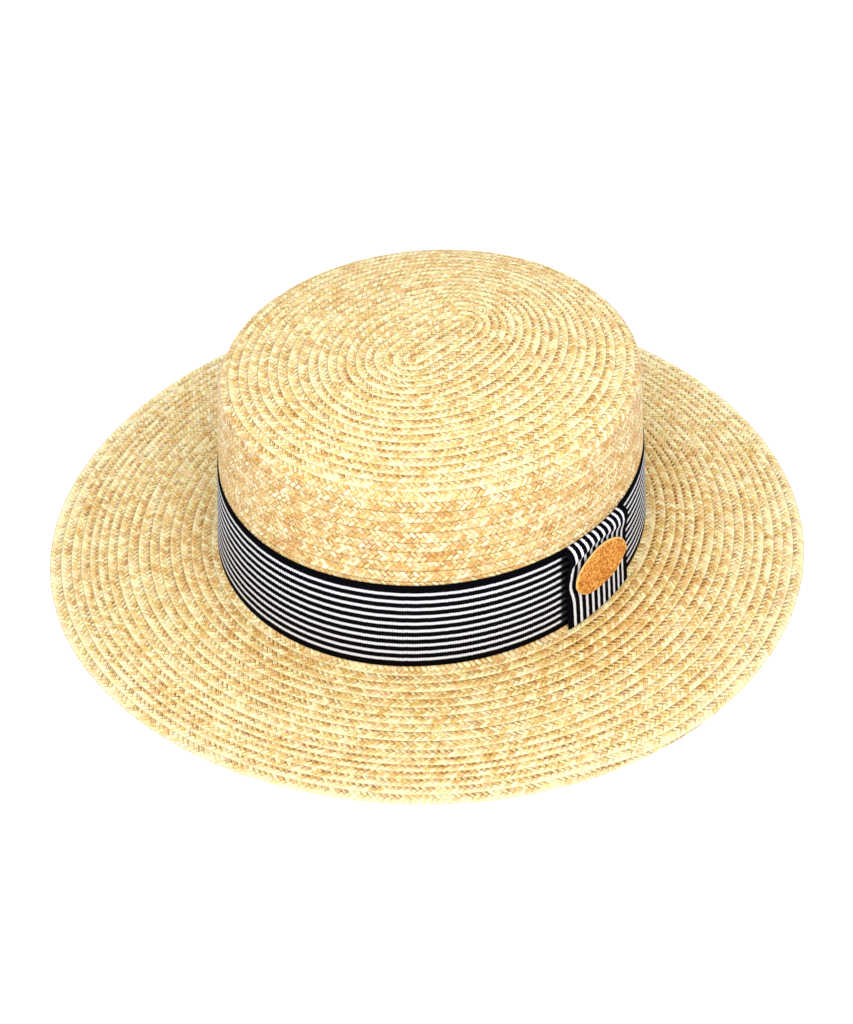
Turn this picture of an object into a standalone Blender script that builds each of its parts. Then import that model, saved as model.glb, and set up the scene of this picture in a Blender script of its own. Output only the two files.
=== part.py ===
"""Straw boater hat: crown, brim, striped ribbon band, ribbon loop and leather patch.

Metres, +Z up. The hat lies flat on its brim, its front towards -Y and the wearer's left towards +X.
The origin is in the middle of the brim's outline, on the surface that the hat rests on.
Every section is an oval, given by an angle that runs from +X towards +Y.
"""

import math

import bmesh
import bpy
from mathutils import Vector

# The straw body. A braid sewn with overlapping rows makes a wall of about 2 mm.
STRAW_WALL = 0.0020
BRIM_HALF_LENGTH = 0.1617
BRIM_HALF_WIDTH = 0.1595
BRIM_EDGE_ROUNDING = 0.0007
# The brim's outline wanders a little from an oval: waves per turn, cosine part, sine part.
BRIM_WAVES = (
    (2, 0.0, 0.0005),
    (3, 0.0014, 0.0),
    (4, -0.0006, 0.0),
)
# Where the crown's middle lies, measured from the middle of the brim's plain oval.
CROWN_OFFSET_X = 0.0009
CROWN_OFFSET_Y = 0.0022
# The crown's foot is cut square to its slanting wall, so its outer rim starts a little higher.
CROWN_FOOT = 0.0004
# The crown's outer face at the brim's underside, and how far it draws in up to the shoulder's top.
CROWN_HALF_LENGTH = 0.0979
CROWN_HALF_WIDTH = 0.0896
CROWN_DRAW_IN_LENGTH = 0.0103
CROWN_DRAW_IN_WIDTH = 0.0065
SHOULDER_HEIGHT = 0.0825
SHOULDER_RADIUS = 0.0060
DOME_RISE = 0.0081

# The striped ribbon and the leather.
SEWING_GAP = 0.0003
CLOTH_WALL = 0.0010
RIBBON_WIDTH = 0.0392
BAND_FOOT = 0.0031
LOOP_ANGLE = math.radians(-4.9)
# The loop is sewn on a little askew: its foot lies further back than its top, as a share of the height.
LOOP_LEAN = 0.045
LOOP_FOOT = STRAW_WALL + SEWING_GAP
LOOP_TOP = BAND_FOOT + RIBBON_WIDTH + SEWING_GAP + CLOTH_WALL
# How far the loop's upper part puffs out at its front edge and at its back edge.
LOOP_PUFF_FRONT = 0.0026
LOOP_PUFF_BACK = 0.0013
PUFF_HEIGHT = 0.0392
PUFF_SPREAD = 0.0048
# The puff grows from nothing at the patch's edge, over this share of the patch's half axes.
PUFF_START = 0.5
# The patch lies this far in front of the loop's middle. It is stiff, so its ends stand off the round side.
PATCH_OFFSET = -0.0022
PATCH_END_LIFT = 0.0013
PATCH_HALF_LENGTH = 0.0156
PATCH_HALF_HEIGHT = 0.0106
PATCH_HEIGHT = 0.0266
PATCH_THICKNESS = 0.0015
PATCH_EDGE_ROUNDING = 0.0004

# How finely the curved faces are divided.
OVAL_SIDES = 96
SHOULDER_STEPS = 5
DOME_STEPS = 7
LOOP_COLUMNS = 18
LOOP_ROWS = 14
TURN_IN_STEPS = 3
PATCH_SPOKES = 32
PATCH_RINGS = 4

BAND_FACE = SEWING_GAP + CLOTH_WALL
LOOP_FACE = BAND_FACE + SEWING_GAP + CLOTH_WALL

# Name of the finish: red, green, blue, roughness.
FINISHES = {
    "straw": (0.87, 0.70, 0.38, 0.55),
    "striped_ribbon": (0.30, 0.30, 0.32, 0.70),
    "tan_leather": (0.72, 0.36, 0.10, 0.60),
}


def clear_scene():
    for thing in list(bpy.data.objects):
        bpy.data.objects.remove(thing)


def make_material(name):
    red, green, blue, roughness = FINISHES[name]
    material = bpy.data.materials.new(name)
    material.use_nodes = True
    shader = material.node_tree.nodes["Principled BSDF"]
    shader.inputs["Base Color"].default_value = (red, green, blue, 1.0)
    shader.inputs["Roughness"].default_value = roughness
    shader.inputs["Metallic"].default_value = 0.0
    material.diffuse_color = (red, green, blue, 1.0)
    return material


def turn_angles():
    return [2 * math.pi * side / OVAL_SIDES for side in range(OVAL_SIDES)]


def brim_edge_point(angle):
    """A point of the brim's outline, measured from the middle of its plain oval."""
    swell = 1.0
    for waves, cosine_part, sine_part in BRIM_WAVES:
        swell += cosine_part * math.cos(waves * angle) / BRIM_HALF_LENGTH
        swell += sine_part * math.sin(waves * angle) / BRIM_HALF_LENGTH
    return Vector((
        swell * BRIM_HALF_WIDTH * math.cos(angle),
        swell * BRIM_HALF_LENGTH * math.sin(angle),
        0.0,
    ))


def brim_middle():
    """The middle of the box round the brim's outline, which becomes the origin."""
    edge = [brim_edge_point(angle) for angle in turn_angles()]
    across = [point.x for point in edge]
    along = [point.y for point in edge]
    return Vector((
        (min(across) + max(across)) / 2,
        (min(along) + max(along)) / 2,
        0.0,
    ))


def side_half_axes(height):
    """Half length and half width of the crown's outer face at a height on its side."""
    share = height / SHOULDER_HEIGHT
    return (
        CROWN_HALF_LENGTH - CROWN_DRAW_IN_LENGTH * share,
        CROWN_HALF_WIDTH - CROWN_DRAW_IN_WIDTH * share,
    )


def crown_middle():
    return Vector((CROWN_OFFSET_X, CROWN_OFFSET_Y, 0.0)) - brim_middle()


def on_crown(angle, height, stand_off):
    """A point that stands off the crown's side by the given distance."""
    half_length, half_width = side_half_axes(height)
    return crown_middle() + Vector((
        (half_width + stand_off) * math.cos(angle),
        (half_length + stand_off) * math.sin(angle),
        height,
    ))


def make_surface(name, rows, is_ring, pole=None):
    """Joins equal rows of points by faces. Rings close on themselves, and a pole closes the last one."""
    mesh = bmesh.new()
    grid = [[mesh.verts.new(point) for point in row] for row in rows]
    count = len(rows[0])
    columns = range(count if is_ring else count - 1)
    for lower, upper in zip(grid, grid[1:]):
        for column in columns:
            beside = (column + 1) % count
            mesh.faces.new((lower[column], lower[beside], upper[beside], upper[column]))
    if pole is not None:
        top = mesh.verts.new(pole)
        for column in columns:
            mesh.faces.new((grid[-1][column], grid[-1][(column + 1) % count], top))
    data = bpy.data.meshes.new(name)
    mesh.to_mesh(data)
    mesh.free()
    data.shade_smooth()
    return bpy.data.objects.new(name, data)


def give_wall(piece, thickness, side):
    """Thickens an open surface. A side of -1 grows it inwards, and 1 outwards."""
    wall = piece.modifiers.new("wall", "SOLIDIFY")
    wall.thickness = thickness
    wall.offset = side
    wall.use_even_offset = True


def round_edges(piece, width, segments):
    rounding = piece.modifiers.new("rounded_edges", "BEVEL")
    rounding.width = width
    rounding.segments = segments
    rounding.limit_method = "ANGLE"
    rounding.angle_limit = math.radians(50)


def crown_sections():
    """Height, half length and half width of the crown's outer face, from foot to tip."""
    shoulder_foot = SHOULDER_HEIGHT - SHOULDER_RADIUS
    foot_length, foot_width = side_half_axes(CROWN_FOOT)
    length, width = side_half_axes(shoulder_foot)
    tip_length = length - SHOULDER_RADIUS
    tip_width = width - SHOULDER_RADIUS
    sections = [(CROWN_FOOT, foot_length, foot_width)]
    # The shoulder's arc ends where it has the slope of the dome's rim.
    last_angle = math.pi / 2 - math.atan(2 * DOME_RISE / tip_length)
    for step in range(SHOULDER_STEPS + 1):
        angle = last_angle * step / SHOULDER_STEPS
        drawn_in = SHOULDER_RADIUS * math.cos(angle)
        sections.append((
            shoulder_foot + SHOULDER_RADIUS * math.sin(angle),
            tip_length + drawn_in,
            tip_width + drawn_in,
        ))
    for step in range(1, DOME_STEPS):
        share = 1 - step / DOME_STEPS
        sections.append((
            SHOULDER_HEIGHT + DOME_RISE * (1 - share**2),
            tip_length * share,
            tip_width * share,
        ))
    return sections


def make_crown():
    middle = crown_middle()
    rows = []
    for height, half_length, half_width in crown_sections():
        rows.append([
            middle + Vector((half_width * math.cos(angle), half_length * math.sin(angle), height))
            for angle in turn_angles()
        ])
    pole = middle + Vector((0.0, 0.0, SHOULDER_HEIGHT + DOME_RISE))
    crown = make_surface("crown", rows, is_ring=True, pole=pole)
    give_wall(crown, STRAW_WALL, -1)
    return crown


def make_brim():
    lift = Vector((0.0, 0.0, STRAW_WALL))
    outer = [brim_edge_point(angle) - brim_middle() + lift for angle in turn_angles()]
    inner = []
    for angle in turn_angles():
        foot = on_crown(angle, 0.0, SEWING_GAP)
        inner.append(foot + lift)
    brim = make_surface("brim", [outer, inner], is_ring=True)
    give_wall(brim, STRAW_WALL, -1)
    round_edges(brim, BRIM_EDGE_ROUNDING, 2)
    return brim


def make_ribbon_band():
    rows = []
    for height in (BAND_FOOT, BAND_FOOT + RIBBON_WIDTH):
        rows.append([on_crown(angle, height, SEWING_GAP) for angle in turn_angles()])
    band = make_surface("ribbon_band", rows, is_ring=True)
    give_wall(band, CLOTH_WALL, 1)
    return band


def ease(value):
    """Runs smoothly from 0 to 1 while the value does."""
    value = min(max(value, 0.0), 1.0)
    return value * value * (3 - 2 * value)


def loop_angle_at(along, height):
    """The angle round the crown of a point on the loop, by its distance from the loop's middle."""
    half_length, _ = side_half_axes(PATCH_HEIGHT)
    leaned = along - LOOP_LEAN * (height - PATCH_HEIGHT)
    return LOOP_ANGLE + leaned / (half_length + LOOP_FACE)


def loop_puff(along, height):
    """How far the ribbon puffs out above the patch, which holds it down."""
    share = along / RIBBON_WIDTH + 0.5
    most = LOOP_PUFF_FRONT + (LOOP_PUFF_BACK - LOOP_PUFF_FRONT) * share
    from_crest = (height - PUFF_HEIGHT) / PUFF_SPREAD
    from_patch = math.hypot(
        (along - PATCH_OFFSET) / PATCH_HALF_LENGTH,
        (height - PATCH_HEIGHT) / PATCH_HALF_HEIGHT,
    )
    return most * math.exp(-from_crest**2) * ease((from_patch - 1.0) / PUFF_START)


def make_bow_loop():
    """The ribbon climbs the band's face, puffs out above the patch and turns in over the band's top."""
    turn_in = LOOP_FACE
    rise = LOOP_TOP - turn_in
    alongs = [RIBBON_WIDTH * (column / LOOP_COLUMNS - 0.5) for column in range(LOOP_COLUMNS + 1)]
    rows = []
    for step in range(LOOP_ROWS + 1):
        height = LOOP_FOOT + (rise - LOOP_FOOT) * step / LOOP_ROWS
        rows.append([
            on_crown(loop_angle_at(along, height), height, LOOP_FACE + loop_puff(along, height))
            for along in alongs
        ])
    for step in range(1, TURN_IN_STEPS + 1):
        turned = math.pi / 2 * step / TURN_IN_STEPS
        height = rise + turn_in * math.sin(turned)
        rows.append([
            on_crown(
                loop_angle_at(along, height),
                height,
                BAND_FACE + (turn_in - BAND_FACE + loop_puff(along, rise)) * math.cos(turned),
            )
            for along in alongs
        ])
    rows.append([on_crown(loop_angle_at(along, LOOP_TOP), LOOP_TOP, SEWING_GAP) for along in alongs])
    loop = make_surface("bow_loop", rows, is_ring=False)
    give_wall(loop, CLOTH_WALL, -1)
    return loop


def on_patch_back(along, height):
    """A point of the patch's back face, by its distance from the patch's middle."""
    angle = loop_angle_at(PATCH_OFFSET + along, PATCH_HEIGHT)
    lift = PATCH_END_LIFT * (along / PATCH_HALF_LENGTH) ** 2
    return on_crown(angle, height, LOOP_FACE + SEWING_GAP + lift)


def make_leather_patch():
    rows = []
    for ring in range(PATCH_RINGS):
        share = 1 - ring / PATCH_RINGS
        row = []
        for spoke in range(PATCH_SPOKES):
            angle = 2 * math.pi * spoke / PATCH_SPOKES
            along = PATCH_HALF_LENGTH * share * math.cos(angle)
            height = PATCH_HEIGHT + PATCH_HALF_HEIGHT * share * math.sin(angle)
            row.append(on_patch_back(along, height))
        rows.append(row)
    pole = on_patch_back(0.0, PATCH_HEIGHT)
    patch = make_surface("leather_patch", rows, is_ring=True, pole=pole)
    give_wall(patch, PATCH_THICKNESS, 1)
    round_edges(patch, PATCH_EDGE_ROUNDING, 2)
    return patch


def main():
    clear_scene()
    hat = bpy.data.collections.new("straw_boater")
    bpy.context.scene.collection.children.link(hat)
    pieces = (
        (make_crown(), "straw"),
        (make_brim(), "straw"),
        (make_ribbon_band(), "striped_ribbon"),
        (make_bow_loop(), "striped_ribbon"),
        (make_leather_patch(), "tan_leather"),
    )
    for piece, finish in pieces:
        hat.objects.link(piece)
        piece.data.materials.append(make_material(finish))


main()
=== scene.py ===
import math

import bpy
import numpy as np
from mathutils import Matrix, Vector


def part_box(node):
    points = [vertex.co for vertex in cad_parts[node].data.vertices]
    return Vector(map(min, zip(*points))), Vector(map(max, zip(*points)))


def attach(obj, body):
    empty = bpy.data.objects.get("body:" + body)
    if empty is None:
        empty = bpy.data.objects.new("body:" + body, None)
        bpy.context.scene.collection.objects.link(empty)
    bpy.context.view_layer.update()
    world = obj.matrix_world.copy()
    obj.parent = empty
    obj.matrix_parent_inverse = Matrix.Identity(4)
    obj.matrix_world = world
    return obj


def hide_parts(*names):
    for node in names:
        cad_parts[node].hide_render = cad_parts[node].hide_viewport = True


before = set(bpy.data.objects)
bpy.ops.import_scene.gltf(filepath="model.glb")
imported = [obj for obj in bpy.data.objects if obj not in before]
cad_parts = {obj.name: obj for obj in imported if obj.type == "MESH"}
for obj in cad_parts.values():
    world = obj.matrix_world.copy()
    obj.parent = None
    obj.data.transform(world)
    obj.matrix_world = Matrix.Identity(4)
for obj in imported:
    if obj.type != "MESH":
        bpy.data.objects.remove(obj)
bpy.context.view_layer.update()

crownLow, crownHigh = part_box("crown")
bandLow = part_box("ribbon_band")[0]
loopLow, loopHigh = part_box("bow_loop")

# The straw shell, as the solids have it. Lengths are in metres.
shell = {
    "middle": ((crownLow.x + crownHigh.x) / 2, (crownLow.y + crownHigh.y) / 2),
    "halfWidth": 0.0896,  # outer face at the table, across the head
    "halfLength": 0.0979,  # and along it
    "drawInWidth": 0.0065,  # how far the side leans in up to the shoulder
    "drawInLength": 0.0103,
    "shoulderHeight": 0.0825,
    "shoulderRadius": 0.0060,
    "tipHeight": crownHigh.z,
    "brimHalfWidth": 0.1595,
    "brimHalfLength": 0.1617,
    "brimWaves": ((2, 0.0, 0.0005), (3, 0.0014, 0.0), (4, -0.0006, 0.0)),
    "brimLevel": 0.0015,  # middle of the brim's top face, under the crests of the rows
}

# The sewn plait: one long strip that starts on the tip and ends at the brim's edge.
plait = {
    "period": 0.00245,  # one repeat of the weave along the strip
    "stripPeriods": 2.5,  # the strip's width, counted in repeats
    "weaveShift": 0.25,  # brings the chevrons of the weave in line with the strip's edge
    "tipRows": 18.8,
    "shoulderRows": 2.0,
    "sideRows": 16.33,
    "cornerRows": 0.5,  # the row that turns from the side to the brim
    "brimRows": 15.6,
    "cornerHeight": 0.0036,
    "startAngle": math.radians(-95.0),
    "spineHalf": 0.0157,  # half length of the straight fold that the tip starts from
    "spineAside": 0.0021,  # where the fold lies off the crown's middle, and how it is turned
    "spineForward": 0.0019,
    "spineTilt": 0.092,
    "foldSharp": 5.0,  # how tightly the first rows turn round the fold's ends
    "ovalSoon": 1.6,  # and how soon the rows outside them turn oval
    "settleRows": 6.0,  # rows at the edge over which the spiral turns into a plain oval
    "settleTurn": 0.07,  # part of a turn in which the last row tapers off
    "settleEarly": 0.17,  # how much sooner it starts to, as a share of those rows
    "wobble": 0.055,  # wander of the row edges, in rows
    "wobbleTurns": (0.137, 0.052),  # turns between its knots, coarse and fine
    "wobbleFine": 0.6,
    "calmStart": 1.5,  # turns over which the wander sets in
    "calmEnd": 1.2,  # turns at the end without it
    "fineTurns": 6.0,  # the first turns are measured in finer steps
    "fineSteps": 24000,
    "steps": 40000,
    "thickness": 0.00045,
    "pressedRows": (29.0, 30.0, 36.3, 36.9),
    "pressed": 0.00035,  # how far the ribbon presses the straw in, between those rows
    "pitchBack": 0.3,  # rows over which the distance between rows is measured
    "pitchAhead": 0.5,
    "crestHeight": 0.00020,  # how far a straw stands above the holes between straws
    "scallop": 0.00011,  # how far the folded straws stand out along the strip's edges
    "scallopInside": 0.3,  # the weave beside the edge follows it by this share
    "edgeOut": 0.0001,  # how far the fold itself stands out past the weave
    "edgeSunk": 0.45,  # both edges lie lower than the top, in thicknesses
    "weaveLevel": 0.6,  # height of the weave that counts as level
    "darkFrom": (-40.0, -8.0),  # creases are painted darker at the wearer's left: degrees from +X
    "darkTo": (55.0, 95.0),
    "seed": 11,
}

# Step between rows, by the number of rows out from the middle of the tip.
rowSteps = (
    (0.0, 0.00036),
    (3.0, 0.00042),
    (18.0, 0.00038),
    (20.5, 0.00024),
    (36.5, 0.00022),
    (38.0, 0.00042),
    (50.0, 0.00042),
    (53.3, 0.00030),
)

pieceRows = (  # name, first row, last row, fine or coarse
    ("tip_plait", 0.0, 18.9, True),
    ("side_plait", 18.9, 29.35, True),
    ("plait_behind_ribbon", 29.35, 36.9, False),
    ("brim_plait_inner", 36.9, 43.6, True),
    ("brim_plait_middle", 43.6, 49.2, True),
    ("brim_plait_outer", 49.2, 99.0, True),
)


def stacked(*values):
    return np.stack(np.broadcast_arrays(*values), axis=-1)


def ease(value):
    value = np.clip(value, 0.0, 1.0)
    return value * value * (3 - 2 * value)


def sideHalfAxes(height):
    share = height / shell["shoulderHeight"]
    halfWidth = shell["halfWidth"] - shell["drawInWidth"] * share
    halfLength = shell["halfLength"] - shell["drawInLength"] * share
    return halfWidth, halfLength


def brimEdge(angle):
    swell = 1.0
    for waves, cosinePart, sinePart in shell["brimWaves"]:
        swell = swell + cosinePart * np.cos(waves * angle) / shell["brimHalfLength"]
        swell = swell + sinePart * np.sin(waves * angle) / shell["brimHalfLength"]
    return swell * shell["brimHalfWidth"] * np.cos(angle), swell * shell["brimHalfLength"] * np.sin(angle)


def centredBrimEdge(angle):
    across, along = brimEdge(np.linspace(0, 2 * math.pi, 97))
    x, y = brimEdge(angle)
    return x - (across.min() + across.max()) / 2, y - (along.min() + along.max()) / 2


tipRows = plait["tipRows"]
shoulderEnd = tipRows + plait["shoulderRows"]
sideEnd = shoulderEnd + plait["sideRows"]
cornerEnd = sideEnd + plait["cornerRows"]
edgeRow = cornerEnd + plait["brimRows"]
print("rows from the middle to the edge:", edgeRow)


def over(mask, newer, older):
    return [np.where(mask, new, old) for new, old in zip(newer, older)]


# The plait's middle face: a point for each row count and angle round the hat.
def hatSurface(row, angle):
    middleX, middleY = shell["middle"]
    radius = shell["shoulderRadius"]
    shoulderFoot = shell["shoulderHeight"] - radius
    footWidth, footLength = sideHalfAxes(shoulderFoot)
    tipWidth = footWidth - radius
    tipLength = footLength - radius
    slope = math.atan(2 * (shell["tipHeight"] - shell["shoulderHeight"]) / tipLength)
    lastAngle = math.pi / 2 - slope
    rimHeight = shoulderFoot + radius * math.sin(lastAngle)
    rimWidth = tipWidth + radius * math.cos(lastAngle)
    rimLength = tipLength + radius * math.cos(lastAngle)
    cosine = np.cos(angle)
    sine = np.sin(angle)

    # the dome of the tip, whose rows start round a straight fold
    share = np.clip(row / tipRows, 0.0, 1.0)
    fold = plait["spineHalf"] + (rimLength - rimWidth - plait["spineHalf"]) * share
    oval = ease(share * plait["ovalSoon"])
    onFold = fold * ((1 - oval) * np.tanh(plait["foldSharp"] * sine) + oval * sine)
    fading = (1 - share) ** 1.5
    point = (
        rimWidth * share * cosine + fading * (plait["spineAside"] + plait["spineTilt"] * onFold),
        rimWidth * share * sine + onFold + fading * plait["spineForward"],
        rimHeight + (shell["tipHeight"] - rimHeight) * (1 - share**2),
    )

    # the shoulder
    turned = lastAngle * (1 - np.clip((row - tipRows) / plait["shoulderRows"], 0.0, 1.0))
    drawnIn = radius * np.cos(turned)
    height = shoulderFoot + radius * np.sin(turned)
    point = over(row > tipRows, ((tipWidth + drawnIn) * cosine, (tipLength + drawnIn) * sine, height), point)

    # the side
    share = np.clip((row - shoulderEnd) / plait["sideRows"], 0.0, 1.0)
    height = shoulderFoot + (plait["cornerHeight"] - shoulderFoot) * share
    halfWidth, halfLength = sideHalfAxes(height)
    point = over(row > shoulderEnd, (halfWidth * cosine, halfLength * sine, height), point)

    # the corner and the brim
    bend = plait["cornerHeight"] - shell["brimLevel"]
    turned = math.pi / 2 * np.clip((row - sideEnd) / plait["cornerRows"], 0.0, 1.0)
    halfWidth, halfLength = sideHalfAxes(plait["cornerHeight"])
    spread = bend * (1 - np.cos(turned))
    share = np.maximum((row - cornerEnd) / plait["brimRows"], 0.0)
    edgeX, edgeY = centredBrimEdge(angle)
    x = (halfWidth + spread) * cosine * (1 - share) + (edgeX - middleX) * share
    y = (halfLength + spread) * sine * (1 - share) + (edgeY - middleY) * share
    height = plait["cornerHeight"] - bend * np.sin(turned)
    x, y, z = over(row > sideEnd, (x, y, height), point)
    return stacked(x + middleX, y + middleY, z)


def surfaceNormal(row, angle):
    rowStep = 0.12
    angleStep = 0.002
    outward = hatSurface(row + rowStep, angle) - hatSurface(np.maximum(row - rowStep, 0.0), angle)
    forward = hatSurface(row, angle + angleStep) - hatSurface(row, angle - angleStep)
    normal = np.cross(outward, forward)
    return normal / np.maximum(np.linalg.norm(normal, axis=-1, keepdims=True), 1e-12)


# Smooth random values between -1 and 1 along a line.
def wander(position, spacing, generator):
    knots = generator.uniform(-1, 1, int(position.max() / spacing) + 3)
    place = position / spacing
    first = np.floor(place).astype(int)
    between = ease(place - first)
    return knots[first] * (1 - between) + knots[first + 1] * between


# The row count at the strip's outer edge, by turns: a spiral that settles into ovals near the brim's edge.
def rowEdge(turns):
    offset = edgeRow - math.floor(edgeRow)
    whole = np.floor(turns - offset)
    part = turns - offset - whole
    settled = (whole + offset - (edgeRow - plait["settleRows"])) / plait["settleRows"]
    settled = ease(settled + plait["settleEarly"])
    jump = ease((part - (1 - plait["settleTurn"])) / plait["settleTurn"])
    edge = whole + offset + (1 - settled) * part + settled * jump
    edge = np.where(turns < offset, turns, edge)
    return np.clip(edge, 0.0, edgeRow)


# Walks the strip along the spiral and notes, four times in each repeat, where its edges lie.
def layPlait():
    generator = np.random.default_rng(plait["seed"])
    lastTurn = edgeRow + 1.0
    fineTurns = np.linspace(0, plait["fineTurns"], plait["fineSteps"] + 1)[:-1]
    turns = np.concatenate([fineTurns, np.linspace(plait["fineTurns"], lastTurn, plait["steps"] + 1)])
    coarse, fine = plait["wobbleTurns"]
    slow = wander(turns, coarse, generator) + plait["wobbleFine"] * wander(turns, fine, generator)
    slow = slow * plait["wobble"]
    slow = slow * ease(turns / plait["calmStart"]) * ease(lastTurn - plait["calmEnd"] - turns)
    edges = rowEdge(turns)
    middle = hatSurface(np.maximum(edges - 0.5, 0.1), plait["startAngle"] + 2 * math.pi * turns)
    lengths = np.concatenate([[0.0], np.cumsum(np.linalg.norm(np.diff(middle, axis=0), axis=1))])
    columnCount = int(lengths[-1] / plait["period"] * 4) // 2 * 2 + 1
    repeats = np.arange(columnCount) / 4.0
    columnTurns = np.interp(repeats * plait["period"], lengths, turns)
    inner = np.interp(np.maximum(columnTurns - 1.0, 0.0), turns, edges + slow)
    inner = np.where(columnTurns < 1.0, 0.0, inner)
    edge = rowEdge(columnTurns) + np.interp(columnTurns, turns, slow)
    print("plait length", round(float(lengths[-1]), 3), "m, columns", columnCount)
    return columnTurns, edge, inner, repeats


# Height of the weave from 0 to 1. Straws run at 45 degrees to the strip, over two and under two.
def straws(repeats, across):
    total = 0.0
    for nudge in (-0.03, 0.03):  # on the line between two straws, both sides count
        first = repeats + across - plait["weaveShift"]
        second = repeats - across + plait["weaveShift"]
        m = np.floor(first + nudge + 0.5)
        k = np.floor(second - nudge + 0.5)
        lag = np.mod(m - k, 4)
        bands = m - k - lag
        isSecond = lag > 1.5
        along = np.where(isSecond, second - (m - bands - 2.5), first - (k + bands + 0.5))
        sideways = np.where(isSecond, first - m, second - k)
        crest = np.cos(math.pi / 2 * np.clip(along, -1, 1)) ** 0.5
        total = total + crest * (0.55 + 0.45 * np.cos(math.pi * np.clip(sideways, -0.5, 0.5))) / 2
    return total


topStations = (0.0, 0.25, 0.5, 0.75, 1.0, 1.25, 1.5, 1.75, 2.5)
underStations = (2.0, 1.5, 1.0)
coarseTop = (0.0, 0.5, 1.0, 1.5, 2.5)


# Points of the strip for some columns, at the given distances from its outer edge.
def placeStations(lay, columns, stations, isUnder):
    turns, edge, inner, repeats = (values[columns][:, None] for values in lay)
    angle = plait["startAngle"] + 2 * math.pi * turns
    rowMiddle = np.maximum(edge - 0.5, plait["pitchBack"])
    ahead = hatSurface(rowMiddle + plait["pitchAhead"], angle)
    back = hatSurface(rowMiddle - plait["pitchBack"], angle)
    pitch = np.linalg.norm(ahead - back, axis=-1) / (plait["pitchAhead"] + plait["pitchBack"])
    across = np.array(stations)
    isOuterEdge = (across == 0.0) & (not isUnder)
    isInnerEdge = (across == plait["stripPeriods"]) & (not isUnder)
    scallop = plait["scallop"] * np.cos(2 * math.pi * (repeats + plait["weaveShift"]))
    distance = across * plait["period"] - np.where(isOuterEdge, scallop + plait["edgeOut"], 0.0)
    distance = distance - np.where(across == 0.25, plait["scallopInside"] * scallop, 0.0)
    distance = distance - np.where(isInnerEdge, scallop, 0.0)
    row = np.maximum(edge - distance / pitch, 0.06 - 0.02 * across)
    step = np.interp(edge, *zip(*rowSteps))
    share = edge - inner
    rise = step * (share - 0.5) - step * distance / pitch
    pressFrom, pressFull, pressLast, pressEnd = plait["pressedRows"]
    press = ease((row - pressFrom) / (pressFull - pressFrom))
    press = press * ease((pressEnd - row) / (pressEnd - pressLast))
    rise = rise - plait["pressed"] * press
    relief = plait["crestHeight"] * (straws(repeats, across) - plait["weaveLevel"])
    if isUnder:
        height = rise - plait["thickness"] - relief
    else:
        sunk = -plait["edgeSunk"] * plait["thickness"]
        height = rise + np.where(isOuterEdge | isInnerEdge, sunk, relief)
    points = hatSurface(row, angle) + surfaceNormal(row, angle) * height[..., None]
    fromCrease = np.full_like(row, -0.5) if isUnder else distance / pitch - share
    return points, stacked(repeats, across), stacked(fromCrease, row)


def addObject(name, data):
    holder = bpy.data.objects.new(name, data)
    bpy.context.scene.collection.objects.link(holder)
    return holder


# Maps are given by face corner, or by point.
def makeMesh(name, points, faceGroups, uvLayers):
    faceSizes = np.concatenate([np.full(len(faces), faces.shape[1]) for faces in faceGroups])
    corners = np.concatenate([faces.ravel() for faces in faceGroups])
    mesh = bpy.data.meshes.new(name)
    mesh.vertices.add(len(points))
    mesh.vertices.foreach_set("co", points.astype(np.float32).ravel())
    mesh.loops.add(len(corners))
    mesh.loops.foreach_set("vertex_index", corners.astype(np.int32))
    mesh.polygons.add(len(faceSizes))
    starts = np.concatenate([[0], np.cumsum(faceSizes)[:-1]])
    mesh.polygons.foreach_set("loop_start", starts.astype(np.int32))
    mesh.polygons.foreach_set("use_smooth", np.ones(len(faceSizes), bool))
    for uvName, values in uvLayers.items():
        layer = mesh.uv_layers.new(name=uvName)
        values = values[corners] if len(values) == len(points) else values
        layer.data.foreach_set("uv", values.astype(np.float32).ravel())
    mesh.update(calc_edges=True)
    mesh.validate()
    print(name, "triangles", int(sum(faceSizes - 2)))
    return addObject(name, mesh)


# Where the texture map of a strip lies: its length is cut into lines that fill a square.
unrolled = {
    "round": 0.0123,  # metres round the strip's section
    "width": 0.96,  # share of the square that the lines take, the caps lie beside them
    "lineFill": 0.94,  # share of a line's height that is used
    "outerEdge": 0.06,  # shares of that height
    "top": 0.66,
    "innerEdge": 0.05,
    "lineStart": 0.002,  # margins before and below a line
    "lineFoot": 0.03,
    "capRadius": 0.008,
    "capAcross": 0.982,  # where the two cut ends lie in the square
    "capUp": (0.25, 0.75),
}


def lineLayout(columnSteps, columnLength):
    lines = max(1, round(math.sqrt(columnSteps * columnLength / unrolled["round"])))
    perLine = math.ceil(columnSteps / lines / 2) * 2
    return math.ceil(columnSteps / perLine), perLine


def mapPlace(columns, firstColumns, share, layout):
    lines, perLine = layout
    line = firstColumns // perLine
    u = (columns - line * perLine) / perLine * unrolled["width"] + unrolled["lineStart"]
    v = (line + unrolled["lineFoot"] + share * unrolled["lineFill"]) / lines
    return stacked(u, v)


def capMap(count, middle):
    turn = 2 * math.pi * np.arange(count) / count
    x = unrolled["capAcross"] + unrolled["capRadius"] * np.cos(turn)
    return stacked(x, middle + unrolled["capRadius"] * np.sin(turn))


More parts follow.
